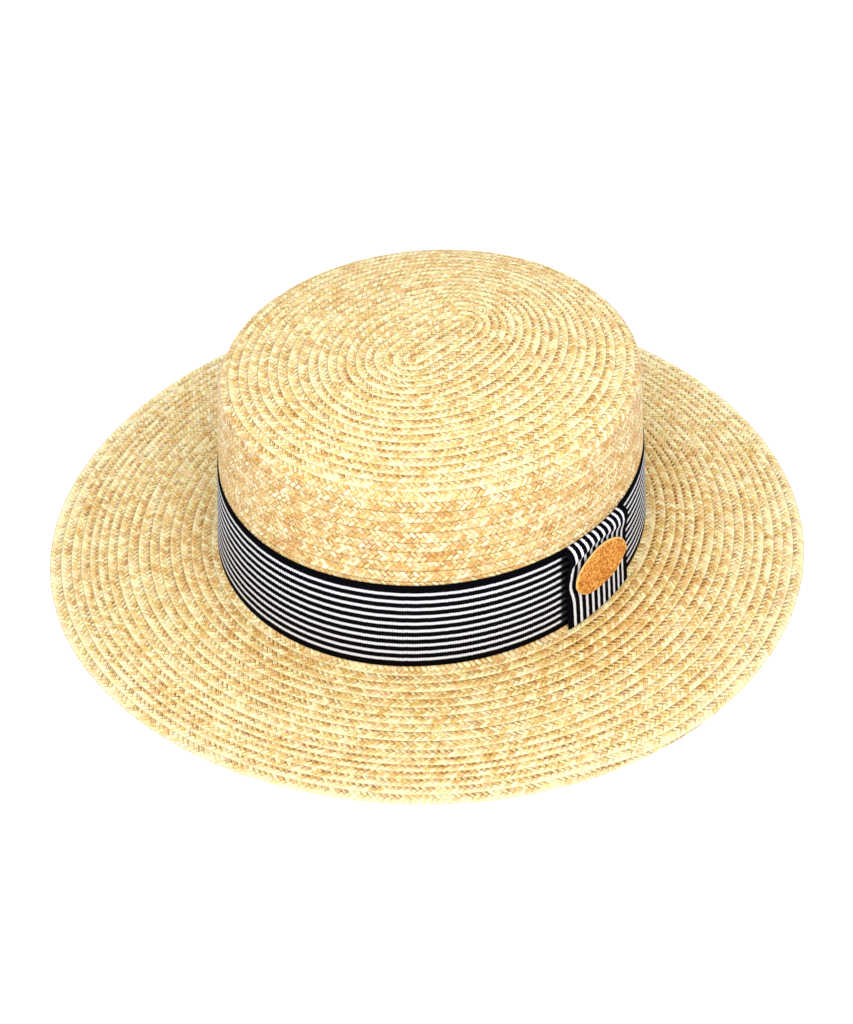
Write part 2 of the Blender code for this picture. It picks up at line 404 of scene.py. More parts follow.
# One stretch of the strip as a closed mesh. The under side has half as many columns as the top.
def plaitPiece(name, lay, first, last, topPlaces, topStep):
    columns = np.arange(first, last + 1, topStep)
    underColumns = columns if topStep == 2 else columns[::2]
    above = placeStations(lay, columns, topPlaces, False)
    below = placeStations(lay, underColumns, underStations, True)
    both = [[values.reshape(-1, values.shape[-1]) for values in pair] for pair in zip(above, below)]
    points, braid, seam = (np.concatenate(pair) for pair in both)
    nTop = len(topPlaces)
    nUnder = len(underStations)
    topCount = len(columns) * nTop
    around = np.degrees(np.arctan2(points[:, 1], points[:, 0]))
    (start, full), (ending, ended) = plait["darkFrom"], plait["darkTo"]
    leftShade = ease((around - start) / (full - start)) * ease((ended - around) / (ended - ending))
    layout = lineLayout(len(columns) - 1, plait["period"] / 4 * topStep)
    used = unrolled["outerEdge"] + unrolled["top"] * np.array(topPlaces) / plait["stripPeriods"]
    underFrom = unrolled["outerEdge"] + unrolled["top"] + unrolled["innerEdge"]
    underUsed = np.linspace(underFrom, 1.0, nUnder)

    groups = []

    def add(corners, places):
        faces = stacked(*corners).reshape(-1, len(corners))
        groups.append((faces, np.stack(places, axis=-2).reshape(-1, len(corners), 2)))

    # the top, station by station
    i = np.arange(len(columns) - 1)[:, None]
    j = np.arange(nTop - 1)
    corner = i * nTop + j
    add(
        [corner, corner + nTop, corner + nTop + 1, corner + 1],
        [mapPlace(i + n, i, used[j + m], layout) for n, m in ((0, 0), (1, 0), (1, 1), (0, 1))],
    )

    # the under side and both edges, a pair of columns at a time
    span = 2 // topStep
    e = np.arange(len(underColumns) - 1)
    u0 = topCount + e * nUnder
    u1 = u0 + nUnder
    topSteps = np.arange(span + 1)
    topStarts = [(span * e + step) * nTop for step in topSteps]

    def place(step, share):
        return mapPlace(span * e + step, span * e, share, layout)

    add(
        [start + nTop - 1 for start in topStarts] + [u1, u0],
        [place(step, used[-1]) for step in topSteps] + [place(span, underUsed[0]), place(0, underUsed[0])],
    )
    for k in range(nUnder - 1):
        add(
            [u0 + k, u1 + k, u1 + k + 1, u0 + k + 1],
            [place(n, underUsed[k + m]) for n, m in ((0, 0), (span, 0), (span, 1), (0, 1))],
        )
    add(
        [u0 + nUnder - 1, u1 + nUnder - 1] + topStarts[::-1],
        [place(0, 0.0), place(span, 0.0)] + [place(step, used[0]) for step in topSteps[::-1]],
    )

    # the cut ends
    lastTop = (len(columns) - 1) * nTop
    lastUnder = topCount + (len(underColumns) - 1) * nUnder
    startCap = np.concatenate([np.arange(nTop), topCount + np.arange(nUnder)])
    endCap = np.concatenate([lastTop + np.arange(nTop), lastUnder + np.arange(nUnder)])[::-1]
    for cap, up in zip((startCap, endCap), unrolled["capUp"]):
        groups.append((cap[None, :], capMap(nTop + nUnder, up)[None]))

    layers = {
        "braid": braid,
        "seam": seam,
        "leftShade": stacked(leftShade, leftShade),
        "OFBake": np.concatenate([faceMap.reshape(-1, 2) for _, faceMap in groups]),
    }
    return makeMesh(name, points, [faces for faces, _ in groups], layers)


def buildStraw():
    lay = layPlait()
    turns = lay[0]
    pieces = []
    for name, firstRow, lastRow, isFine in pieceRows:
        first = int(np.searchsorted(turns, firstRow)) // 2 * 2
        last = min(int(np.searchsorted(turns, lastRow)) // 2 * 2, len(turns) - 1)
        stations = topStations if isFine else coarseTop
        pieces.append(plaitPiece(name, lay, first, last, stations, 1 if isFine else 2))
    return pieces


# A shader value to reckon with as with a number: each step adds a node to its tree.
class Value:
    def __init__(self, socket):
        self.socket = socket
        self.tree = socket.id_data

    def __add__(self, other):
        return calc("ADD", self, other)

    def __sub__(self, other):
        return calc("SUBTRACT", self, other)

    def __mul__(self, other):
        return calc("MULTIPLY", self, other)

    def __gt__(self, other):
        return calc("GREATER_THAN", self, other)

    def __lt__(self, other):
        return calc("LESS_THAN", self, other)

    def __abs__(self):
        return calc("ABSOLUTE", self)


def feed(socket, value):
    if isinstance(value, Value):
        value.tree.links.new(value.socket, socket)
    else:
        socket.default_value = value


# A node in the tree of the first value, whose inputs are fed in their order.
def addNode(kind, values, **settings):
    step = values[0].tree.nodes.new(kind)
    for label, setting in settings.items():
        setattr(step, label, setting)
    for socket, value in zip(step.inputs, values):
        feed(socket, value)
    return step


def calc(operation, *values):
    return Value(addNode("ShaderNodeMath", values, operation=operation).outputs[0])


def fade(value, low, high, start=0.0, end=1.0):
    values = (value, low, high, start, end)
    return Value(addNode("ShaderNodeMapRange", values, interpolation_type="SMOOTHSTEP").outputs["Result"])


def blend(factor, first, second, kind="FLOAT", mode="MIX"):
    step = addNode("ShaderNodeMix", (factor,), data_type=kind, blend_type=mode)
    names = {"FLOAT": "_Float", "RGBA": "_Color"}[kind]
    sockets = {socket.identifier: socket for socket in step.inputs}
    feed(sockets["A" + names], first)
    feed(sockets["B" + names], second)
    return Value({socket.identifier: socket for socket in step.outputs}["Result" + names])


def tint(factor, colour, paint, mode="MIX"):
    return blend(factor, colour, (*paint, 1.0), "RGBA", mode)


def vector(x, y, z=0.0):
    return Value(addNode("ShaderNodeCombineXYZ", (x, y, z)).outputs[0])


def parts(place):
    step = addNode("ShaderNodeSeparateXYZ", (place,))
    return Value(step.outputs[0]), Value(step.outputs[1])


def cloud(place, scale, detail, roughness):
    values = (place, 0.0, scale, detail, roughness)
    return Value(addNode("ShaderNodeTexNoise", values, noise_dimensions="3D").outputs["Fac"])


def cells(place, scale, output):
    return Value(addNode("ShaderNodeTexVoronoi", (place, 0.0, scale)).outputs[output])


def dice(x, y, z):
    step = addNode("ShaderNodeTexWhiteNoise", (vector(x, y, z),), noise_dimensions="3D")
    return Value(step.outputs["Value"])


def shades(value, stops):
    step = addNode("ShaderNodeValToRGB", (value,))
    ramp = step.color_ramp
    while len(ramp.elements) < len(stops):
        ramp.elements.new(1.0)
    for element, (position, colour) in zip(ramp.elements, stops):
        element.position = position
        element.color = (*colour, 1.0)
    return Value(step.outputs["Color"])


def newGroup(name, inputs):
    tree = bpy.data.node_groups.new(name, "ShaderNodeTree")
    for label, value in inputs.items():
        kind = "NodeSocketVector" if value is None else "NodeSocketFloat"
        socket = tree.interface.new_socket(label, in_out="INPUT", socket_type=kind)
        if value is not None:
            socket.default_value = value
    for label, kind in (("Color", "Color"), ("Roughness", "Float"), ("Height", "Float")):
        tree.interface.new_socket(label, in_out="OUTPUT", socket_type="NodeSocket" + kind)
    entry = tree.nodes.new("NodeGroupInput")
    given = {label: Value(entry.outputs[label]) for label in inputs}
    return tree, given, tree.nodes.new("NodeGroupOutput").inputs


def uvPlace(tree, name):
    step = tree.nodes.new("ShaderNodeUVMap")
    step.uv_map = name
    return Value(step.outputs["UV"])


# A material whose colour, roughness and bump come from one node group. A name given to it is a map.
def makeMaterial(name, group, given, look):
    material = bpy.data.materials.new(name)
    material.use_nodes = True
    tree = material.node_tree
    shader = tree.nodes["Principled BSDF"]
    shader.inputs["Specular IOR Level"].default_value = look["specular"]
    pattern = tree.nodes.new("ShaderNodeGroup")
    pattern.node_tree = group
    for label, value in given.items():
        feed(pattern.inputs[label], uvPlace(tree, value) if isinstance(value, str) else value)
    bump = tree.nodes.new("ShaderNodeBump")
    for label, value in zip(("Strength", "Distance"), look["bump"]):
        bump.inputs[label].default_value = value
    tree.links.new(pattern.outputs["Color"], shader.inputs["Base Color"])
    tree.links.new(pattern.outputs["Roughness"], shader.inputs["Roughness"])
    tree.links.new(pattern.outputs["Height"], bump.inputs["Height"])
    tree.links.new(bump.outputs["Normal"], shader.inputs["Normal"])
    return material


straw = {
    "ramp": (  # from dark straws to light ones
        (0.08, (0.64, 0.34, 0.076)),
        (0.34, (0.79, 0.505, 0.156)),
        (0.60, (0.88, 0.69, 0.270)),
        (0.95, (0.99, 0.92, 0.575)),
    ),
    "stroke": (0.44, 0.19, 0.032),  # the gaps between straws
    "gapInShade": (0.23, 0.076, 0.008),  # painted shade: the gaps in the shade of the row above
    "side": (0.96, 1.0, 1.20),  # painted shade: the upright side is a little cooler
    "rosy": (1.0, 0.88, 0.90),
    "greenish": (0.97, 1.0, 0.93),
    "baseTone": -0.70,
    "tones": {  # how much each of these lightens a straw, or darkens it
        "perStraw": 0.16,
        "perFloat": 0.58,
        "fibre": 0.26,
        "fleck": 0.50,
        # painted highlight along the middle of each straw
        "ridgeHighlight": 0.10,
        "blotch": 0.60,
        "slow": 0.55,
        # painted shade in the crease under the row above
        "crease": -0.10,
        # painted shade: the upright side is darker
        "side": -0.19,
        "inner": -0.12,  # painted shade on the brim's rows next to the crown
        # more painted shade at the wearer's left, next to the crown and in the creases
        "leftInner": -0.12,
        "leftCrease": -0.35,
        # painted highlight along each row's folded edge
        "fold": 0.30,
        "rim": 0.22,
    },
    "sideSeams": 0.30,  # on the side the rows lie almost flat, so their seams hardly show
    "dive": 0.75,  # how dark the ends of a float are
    "gap": 0.8,  # and its long sides
    "foldGap": -0.75,  # the folds at a row's edge have fewer gaps
    "flatGap": 0.80,  # on the tip and the brim, against 1 on the side
    "creaseGap": 1.3,
    "bead": 0.55,  # how dark the beads of painted shade in the crease are, and how much more at the left
    "leftBead": 0.22,
    "leftInnerBead": 0.7,
    "fibreHeight": 0.35,
    "gapHeight": 0.8,
    "roughness": (0.36, 0.56),
    "specular": 0.35,
    "bump": (0.6, 0.00020),  # strength, and height in metres
}


def strawWeaveGroup():
    tree, given, made = newGroup("strawWeave", {"Braid": None, "Seam": None, "Left Shade": None})
    repeats, across = parts(given["Braid"])
    fromCrease, row = parts(given["Seam"])
    leftShade, _ = parts(given["Left Shade"])

    # which straw of the weave a point is on, and where on it
    shift = plait["weaveShift"]
    first = repeats + across - shift
    second = repeats - across + shift
    m = calc("FLOOR", first + 0.5)
    k = calc("FLOOR", second + 0.5)
    apart = m - k
    lag = calc("FLOORED_MODULO", apart, 4.0)
    bands = apart - lag
    isSecond = lag > 1.5
    along = blend(isSecond, first - k - (bands + 0.5), second - m + (bands + 2.5))
    sideways = blend(isSecond, second - k, first - m)
    strand = blend(isSecond, k, m + 5000.5)
    run = blend(isSecond, first, second)

    # where on the hat it is. Masks fade from the first number to the second, in rows or straw widths
    onSide = fade(row, tipRows - 0.2, shoulderEnd + 0.2) * fade(row, cornerEnd + 0.4, sideEnd - 0.6)
    seamShow = blend(onSide, 1.0, straw["sideSeams"])
    # painted shade: the crease under the row above is darker, in some stretches more than in others
    patchy = cloud(vector(repeats * 0.23, 5.0, 1.0), 1.0, 2.0, 0.5)
    creaseShade = fade(patchy, 0.30, 0.60, 0.40, 1.0) * seamShow
    crease = fade(fromCrease, -0.40, -0.04) * creaseShade
    # the folded outer edge of each row has fewer gaps, and a painted highlight lightens it
    foldEdge = fade(across, 0.46, 0.18) * seamShow
    # painted shade on the brim's rows next to the crown, deeper at the wearer's left
    inner = fade(row, cornerEnd, cornerEnd + 0.8) * fade(row, cornerEnd + 9.0, cornerEnd + 1.5)
    leftInner = leftShade * inner

    # tones: one for each straw, one for each float, fibres along it, and slower changes; then painted shade
    # in the creases, on the side and next to the crown, and painted highlights along each straw's middle and
    # each row's fold
    perFloat = dice(strand, bands, 9.3)
    fibre = cloud(vector(run * 0.6, sideways * 4.0, strand * 7.31), 1.0, 2.0, 0.6)
    fleck = cloud(vector(run * 2.4, sideways * 4.5, strand * 3.17), 1.0, 1.0, 0.5)
    tone = straw["baseTone"]
    for part, weight in (
        (dice(strand, 3.1, 0.7), "perStraw"),
        (perFloat, "perFloat"),
        (fade(fibre, 0.36, 0.64), "fibre"),
        (fade(fleck, 0.40, 0.60), "fleck"),
        (calc("COSINE", sideways * math.pi), "ridgeHighlight"),
        (cloud(vector(repeats * 0.5, across * 0.9, 3.0), 1.0, 2.0, 0.6), "blotch"),
        (cloud(vector(repeats * 0.11, across * 0.3, 8.0), 1.0, 2.0, 0.5), "slow"),
        (crease, "crease"),
        (onSide, "side"),
        (inner, "inner"),
        (leftInner, "leftInner"),
        (crease * leftInner, "leftCrease"),
        (foldEdge * fade(dice(strand, bands, 12.7), 0.0, 1.0, 0.25, 1.0), "fold"),
        (fade(row, edgeRow - 2.6, edgeRow - 0.8), "rim"),
    ):
        tone = part * straw["tones"][weight] + tone
    colour = shades(tone, straw["ramp"])
    hue = dice(strand, bands, 6.6)
    # painted shade makes the upright side cooler; the rosy and greenish floats are the straws' own hue
    colour = tint(onSide, colour, straw["side"], "MULTIPLY")
    colour = tint(fade(hue, 0.50, 1.0), colour, straw["rosy"], "MULTIPLY")
    colour = tint(fade(hue, 0.30, 0.0), colour, straw["greenish"], "MULTIPLY")

    # thin gaps run beside each straw, and deepen where it dives under the next ones
    split = fade(abs(sideways + 0.04), 0.14, 0.04) * fade(hue, 0.40, 0.70) * 0.8
    gap = calc("MAXIMUM", fade(abs(sideways), 0.30, 0.48), split) * straw["gap"]
    gap = fade(abs(along), 0.64, 0.94) * straw["dive"] + gap
    gap = gap * fade(dice(strand, bands, 4.1), 0.25, 1.0, 0.15, 1.30)
    gap = gap * (foldEdge * straw["foldGap"] + 1.0)
    stroke = gap * blend(onSide, straw["flatGap"], 1.0)
    # painted shade: the gaps darken in the crease under the row above
    gapInShade = gap * crease * straw["creaseGap"]

    # dark beads in the crease, one for each fold of the edge above: the notches between the folds, with
    # painted shade of the row above on them
    turned = across * 0.8 + repeats + shift
    fromBead = abs(calc("FRACT", turned) - 0.5)
    bead = fade(fromBead, 0.36, 0.16) * fade(fromCrease, -0.42, -0.24) * creaseShade
    bead = bead * fade(dice(calc("FLOOR", turned), 7.0, 2.0), -0.1, 0.8)
    bead = bead * (leftShade * straw["leftBead"] + straw["bead"])
    bead = bead * (leftInner * straw["leftInnerBead"] + 1.0)
    for shade, most, paint in ((stroke, 1.0, "stroke"), (gapInShade, 0.95, "gapInShade"), (bead, 1.0, "gapInShade")):
        colour = tint(calc("MINIMUM", shade, most), colour, straw[paint])

    feed(made["Height"], fibre * straw["fibreHeight"] - gap * straw["gapHeight"])
    feed(made["Roughness"], blend(perFloat, *straw["roughness"]))
    feed(made["Color"], colour)
    return tree


strawMaterial = makeMaterial(
    "golden_straw", strawWeaveGroup(), {"Braid": "braid", "Seam": "seam", "Left Shade": "leftShade"}, straw,
)
for piece in buildStraw():
    piece.data.materials.append(strawMaterial)
    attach(piece, "root")
    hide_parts("brim" if "brim" in piece.name else "crown")

ribbon = {
    "width": 0.0392,
    "foot": bandLow.z,
    "face": 0.0005,  # outer face of the band, off the straw
    "thickness": 0.0004,
    "rib": 0.00098,
    "ribDepth": 0.00005,
    "topBorder": 0.00338,
    "bottomBorder": 0.00294,
    "white": 0.00138,
    "black": 0.00212,
    "selvage": 0.0008,  # the smooth edge, where no rib stands out
    "dip": 0.0012,  # how far the loop pulls the band's top edge down
    "dipHalfAngle": 0.185,
    "dipFade": 0.03,
    "sways": (  # the band's height round the hat: waves, size, start
        (5, 0.00012, 1.0),
        (9, 0.0001, 0.0),
    ),
    "swayLevel": 0.3,  # the share of the width that stays level
    "columns": 13,
    "edgeRound": 0.6,  # how far the ribbon's corners are rounded, in half thicknesses
    "whiteYarn": (0.87, 0.89, 0.97),
    "whiteShade": (0.58, 0.59, 0.68),
    "blackYarn": (0.0030, 0.0030, 0.0050),
    "blackShade": (0.0010, 0.0010, 0.0018),
    "loopShadowFrom": (-2.2, -0.5),  # painted shadow of the loop: beside its edge the white stripes turn dark: ribs from it
    "loopShadowTo": (9.0, 8.0),
    "loopShadowDepth": -0.95,
    "specular": 0.01,
    "bump": (0.6, 0.00015),
}


def onCrown(angle, height, standOff):
    halfWidth, halfLength = sideHalfAxes(height)
    middleX, middleY = shell["middle"]
    x = middleX + (halfWidth + standOff) * np.cos(angle)
    y = middleY + (halfLength + standOff) * np.sin(angle)
    return stacked(x, y, height)


# A tube of equal sections. A ring closes on itself, and a strip gets a face at each end.
def makeTube(name, grid, uvGrid, isRing):
    rows, columns = grid.shape[:2]
    i = np.arange(rows if isRing else rows - 1)[:, None]
    j = np.arange(columns)
    nextI = (i + 1) % rows
    nextJ = (j + 1) % columns
    quads = stacked(i * columns + j, nextI * columns + j, nextI * columns + nextJ, i * columns + nextJ)
    groups = [quads.reshape(-1, 4)]
    uvs = np.stack([uvGrid[i, j], uvGrid[i + 1, j], uvGrid[i + 1, j + 1], uvGrid[i, j + 1]], axis=-2)
    uvs = [uvs.reshape(-1, 2)]
    if not isRing:
        end = (rows - 1) * columns + np.arange(columns)[::-1]
        groups += [np.arange(columns)[None, :], end[None, :]]
        uvs += [uvGrid[0, :columns], uvGrid[rows - 1, :columns][::-1]]
    return makeMesh(name, grid.reshape(-1, 3), groups, {"cloth": np.concatenate(uvs)})


# The ribbon's section: place across its width, and height over its middle.
def clothSection(thickness, count):
    half = thickness / 2
    rounded = half * ribbon["edgeRound"]
    outer = np.linspace(rounded, ribbon["width"] - rounded, count)
    front = [(value, half) for value in outer]
    back = [(value, -half) for value in outer[::-4]]
    return np.array(front + [(ribbon["width"], 0.0)] + back + [(0.0, 0.0)])


def clothMap(ribCount, section):
    across = np.append(section[:, 0], section[0, 0]) * 1000.0
    return stacked(np.arange(ribCount)[:, None] / 2.0, across)


def buildBand():
    halfWidth, halfLength = sideHalfAxes(ribbon["foot"] + ribbon["width"] / 2)
    longer = 3 * halfWidth + halfLength
    shorter = halfWidth + 3 * halfLength
    around = math.pi * (3 * (halfWidth + halfLength) - math.sqrt(longer * shorter))
    count = round(around / ribbon["rib"]) * 2
    angle = 2 * math.pi * np.arange(count) / count
    section = clothSection(ribbon["thickness"], ribbon["columns"])
    across, off = section.T
    rib = ribbon["ribDepth"] * np.cos(math.pi * np.arange(count))[:, None]
    inside = (across > ribbon["selvage"]) & (across < ribbon["width"] - ribbon["selvage"]) & (off > 0)
    sway = sum(size * np.sin(waves * angle + start) for waves, size, start in ribbon["sways"])
    height = across + sway[:, None] * (across / ribbon["width"] - ribbon["swayLevel"])
    height = ribbon["foot"] + np.clip(height, 0.0, ribbon["width"])
    fromLoop = (angle + math.pi) % (2 * math.pi) - math.pi - loop["angle"]
    underLoop = ease((ribbon["dipHalfAngle"] - np.abs(fromLoop)) / ribbon["dipFade"])[:, None]
    height = height - ribbon["dip"] * underLoop * ease(across / ribbon["width"] * 2 - 1)
    lift = ribbon["face"] - ribbon["thickness"] / 2 + off + rib * inside
    grid = onCrown(angle[:, None], height, lift)
    return makeTube("ribbon_band_cloth", grid, clothMap(count + 1, section), True), around


loop = {
    "angle": math.radians(-4.9),
    "lean": 0.045,  # the foot lies further back than the top, as a share of the height
    "foot": loopLow.z,
    "top": loopHigh.z - 0.0015,  # a little lower than the solid's
    "face": 0.0025,
    "bandFace": 0.0006,
    "thickness": 0.0006,
    "puffFront": 0.0027,  # how far the upper part puffs out, at its front and back edges
    "puffBack": 0.0013,
    "puffHeight": 0.0377,
    "puffAbove": 0.0039,
    "puffBelow": 0.0056,
    "puffStart": 0.5,
    "pinch": 0.0017,  # how far the stitches pull the front stripe forwards, low beside the patch
    "pinchHeight": 0.0236,
    "pinchSpread": 0.0055,
    "pinchEdge": 0.0030,  # it fades out over this at the front edge
    "pinchEnd": -0.0085,  # and over this behind, up to here from the middle
    "pinchFade": 0.0050,
    "tuckDepth": 0.00022,  # small tucks round the patch's upper front
    "tucks": 17,
    "tuckReach": 1.10,  # their middle and spread, in patch radii
    "tuckSpread": 0.10,
    "tuckTurn": 2.3,  # and round the patch, in radians
    "tuckTurnSpread": 0.75,
    "arcOff": 0.0026,  # how far off the straw its breadth is laid out
    "hiddenLift": 0.0004,  # where the turned end stops, behind the band's face
    "columns": 61,
    "turnSteps": 9,
    "flatLength": 0.048,
    "ribDepth": 0.35,  # its ribs show less than the band's
}
patch = {
    "offset": -0.0014,  # from the loop's middle
    "halfLength": 0.0153,
    "halfHeight": 0.0103,
    "height": 0.0256,
    "tilt": math.radians(2.5),
    "thickness": 0.0009,
    "face": 0.0033,
    "frontLift": 0.0010,  # the leather is stiff, so its ends stand off the round side
    "backLift": 0.0016,
    "rounding": 0.0005,  # the cut edge's upper corner, its height and its share of the radius
    "roundShare": 0.035,
    "flatShare": 0.965,  # the rest of the radius
    "roundSteps": 5,
    "sag": 0.00018,  # how much lower the top is at its edge
    "footLift": 0.0003,  # the cut edge's lower corner
    "footShare": 0.985,
    "rings": 30,
    "spokes": 160,
    "bulges": (  # where the cut strays from an oval: degrees, spread, share
        (-9.0, 13.0, 0.035),
        (120.0, 22.0, -0.020),
        (207.0, 16.0, -0.021),
        (235.0, 18.0, 0.021),
        (300.0, 22.0, 0.032),
    ),
}


def loopAngleAt(along, height):
    halfLength = sideHalfAxes(patch["height"])[1]
    leaned = along - loop["lean"] * (height - patch["height"])
    return loop["angle"] + leaned / (halfLength + loop["arcOff"])


def loopPuff(along, height):
    share = along / ribbon["width"] + 0.5
    most = loop["puffFront"] + (loop["puffBack"] - loop["puffFront"]) * share
    fromCrest = height - loop["puffHeight"]
    fromCrest = fromCrest / np.where(fromCrest > 0, loop["puffAbove"], loop["puffBelow"])
    aside = (along - patch["offset"]) / patch["halfLength"]
    above = (height - patch["height"]) / patch["halfHeight"]
    reach = np.hypot(aside, above)
    turn = np.arctan2(above, aside)
    puff = most * np.exp(-fromCrest**2) * ease((reach - 1.0) / loop["puffStart"])
    tuck = np.exp(-((reach - loop["tuckReach"]) / loop["tuckSpread"]) ** 2)
    tuck = np.cos(loop["tucks"] * turn) * tuck
    frontness = np.exp(-((turn - loop["tuckTurn"]) / loop["tuckTurnSpread"]) ** 2)
    return puff + loop["tuckDepth"] * tuck * frontness


def pinched(along, height):
    pull = loop["pinch"] * np.exp(-((height - loop["pinchHeight"]) / loop["pinchSpread"]) ** 2)
    weight = ease((along + ribbon["width"] / 2) / loop["pinchEdge"])
    weight = weight * ease((loop["pinchEnd"] - along) / loop["pinchFade"])
    return along - pull * weight


def buildLoop():
    section = clothSection(loop["thickness"], loop["columns"])
    across, off = section.T
    along = across - ribbon["width"] / 2
    half = loop["thickness"] / 2
    rise = loop["top"] - loop["face"]
    rows = []
    for index, height in enumerate(np.arange(loop["foot"], rise, ribbon["rib"] / 2)):
        lift = loop["face"] - half + loopPuff(along, height) + off
        lift = lift + ribbon["ribDepth"] * (-1) ** index * (off > 0)
        rows.append(onCrown(loopAngleAt(pinched(along, height), height), height, lift))
    atRise = loopPuff(along, rise)
    for turned in np.linspace(0, math.pi / 2, loop["turnSteps"])[1:]:
        reach = (loop["face"] - loop["bandFace"] + atRise) * math.cos(turned) + loop["bandFace"] - half
        heights = rise + (loop["face"] - half + off) * math.sin(turned)
        lift = reach + off * math.cos(turned)
        rows.append(onCrown(loopAngleAt(along, heights), heights, lift))
    heights = loop["top"] - half + off
    rows.append(onCrown(loopAngleAt(along, heights), heights, loop["hiddenLift"]))
    grid = np.stack(rows)[:, ::-1]
    uvGrid = clothMap(len(rows), section[::-1])
    return makeTube("bow_loop_cloth", grid, uvGrid, False)


def onPatch(share, spokes, lift):
    swell = 1.0
    for middle, spread, amount in patch["bulges"]:
        away = (np.degrees(spokes) - middle + 180) % 360 - 180
        swell = swell + amount * np.exp(-((away / spread) ** 2))
    level = share * swell * np.cos(spokes) * patch["halfLength"]
    upright = share * swell * np.sin(spokes) * patch["halfHeight"]
    cosine = math.cos(patch["tilt"])
    sine = math.sin(patch["tilt"])
    aside = (level * cosine - upright * sine) / patch["halfLength"]
    above = (upright * cosine + level * sine) / patch["halfHeight"]
    ends = np.where(aside > 0, patch["backLift"], patch["frontLift"]) * aside**2
    angle = loopAngleAt(patch["offset"] + patch["halfLength"] * aside, patch["height"])
    return onCrown(angle, patch["height"] + patch["halfHeight"] * above, lift + ends)


def buildPatch():
    top = patch["face"] + patch["thickness"]
    rings = []
    for share in np.linspace(0.0, 1.0, patch["rings"])[1:]:
        rings.append((share * patch["flatShare"], top - patch["sag"] * share**4))
    for turned in np.linspace(0, math.pi / 2, patch["roundSteps"] + 1)[1:]:
        sunk = patch["rounding"] * (1 - math.cos(turned))
        share = patch["flatShare"] + patch["roundShare"] * math.sin(turned)
        rings.append((share, top - patch["sag"] - sunk))
    rings.append((1.0, patch["face"] + patch["footLift"]))
    rings.append((patch["footShare"], patch["face"]))
    spokes = 2 * math.pi * np.arange(patch["spokes"]) / patch["spokes"]
    points = [onPatch(0.0, np.zeros(1), top)]
    uv = [np.array([[0.0, 0.0]])]
    for share, lift in rings:
        points.append(onPatch(share, spokes, lift))
        uv.append(share * stacked(np.cos(spokes), np.sin(spokes)))
    uv = np.concatenate(uv)
    n = patch["spokes"]
    j = np.arange(n)
    nextJ = (j + 1) % n
    groups = [stacked(0, 1 + j, 1 + nextJ)]
    for ring in range(len(rings) - 1):
        base = 1 + ring * n
        groups.append(stacked(base + j, base + n + j, base + n + nextJ, base + nextJ))
    lastRing = 1 + (len(rings) - 1) * n
    groups.append((lastRing + j)[::-1][None, :])
    return makeMesh("leather_patch_hide", np.concatenate(points), groups, {"hide": uv})


def ribbonWeaveGroup():
    tree, given, made = newGroup("ribbonWeave", {"Cloth": None, "Rib Depth": 1.0, "Shade At": -100.0})
    ribDepth = given["Rib Depth"]
    rib, across = parts(given["Cloth"])
    ribNumber = calc("FLOOR", rib + 0.5)
    fromRib = abs(rib - ribNumber)
    valley = fade(fromRib, 0.18, 0.5)

    # the stripes, a little narrower in the valleys between ribs
    waist = (valley * 0.40 + -0.10) * ribDepth
    jitter = dice(ribNumber, 2.0, 0.0) * 0.12 + -0.06
    white = ribbon["white"] * 1000
    period = white + ribbon["black"] * 1000
    stripes = (ribbon["width"] - ribbon["topBorder"] - ribbon["bottomBorder"]) * 1000 / period
    inStripes = calc("DIVIDE", across + jitter - ribbon["bottomBorder"] * 1000, period)
    part = calc("FRACT", inStripes) * period
    # painted shadow of the loop on the band, beside the loop's front edge
    besideLoop = rib - given["Shade At"]
    loopShadow = fade(besideLoop, *ribbon["loopShadowFrom"]) * fade(besideLoop, *ribbon["loopShadowTo"])
    isWhite = (part > waist) * (part + waist < white) * (inStripes < stripes) * (inStripes > 0.0)
    isWhite = isWhite * (loopShadow * ribbon["loopShadowDepth"] + 1.0)
    thread = cloud(vector(rib * 0.6, across * 6.0), 1.0, 2.0, 0.7)
    # painted shade in the valleys between ribs, over the threads' own tone
    shade = thread * 0.30 + valley * ribDepth * 0.85
    pale = tint(shade, (*ribbon["whiteYarn"], 1.0), ribbon["whiteShade"])
    dark = tint(shade, (*ribbon["blackYarn"], 1.0), ribbon["blackShade"])
    feed(made["Color"], blend(isWhite, dark, pale, "RGBA"))
    feed(made["Roughness"], blend(thread, 0.60, 0.80))
    feed(made["Height"], thread * 0.3 + calc("COSINE", fromRib * math.pi) * ribDepth)
    return tree


leather = {
    "ramp": (  # from its dark grain to the light one
        (0.22, (0.42, 0.110, 0.009)),
        (0.5, (0.67, 0.238, 0.022)),
        (0.8, (0.93, 0.50, 0.12)),
    ),
    "rim": (0.98, 0.66, 0.24),  # the pale cut edge, and where it starts
    "rimFrom": (0.945, 0.985),
    "rimShow": 0.8,
    "poreScale": 30.0,
    "speckScale": 13.0,
    "fineScale": 15.0,
    "broadScale": 5.0,
    "baseTone": -0.40,
    "broad": 0.5,
    "fine": 0.6,
    "speck": 0.70,
    "roughness": (0.5, 0.72),
    "specular": 0.3,
    "bump": (0.25, 0.0003),
}


def leatherGrainGroup():
    tree, given, made = newGroup("leatherGrain", {"Hide": None})
    x, y = parts(given["Hide"])
    place = vector(x * (patch["halfLength"] / patch["halfHeight"]), y)
    speck, _ = parts(cells(place, leather["speckScale"], "Color"))
    fine = cloud(place, leather["fineScale"], 4.0, 0.8)
    tone = cloud(place, leather["broadScale"], 3.0, 0.6) * leather["broad"] + leather["baseTone"]
    tone = tone + fade(fine, 0.28, 0.72) * leather["fine"] + speck * leather["speck"]
    rim = fade(calc("SQRT", x * x + y * y), *leather["rimFrom"]) * leather["rimShow"]
    feed(made["Color"], tint(rim, shades(tone, leather["ramp"]), leather["rim"]))
    feed(made["Roughness"], blend(fine, *leather["roughness"]))
    feed(made["Height"], fine * 0.8 + cells(place, leather["poreScale"], "Distance"))
    return tree


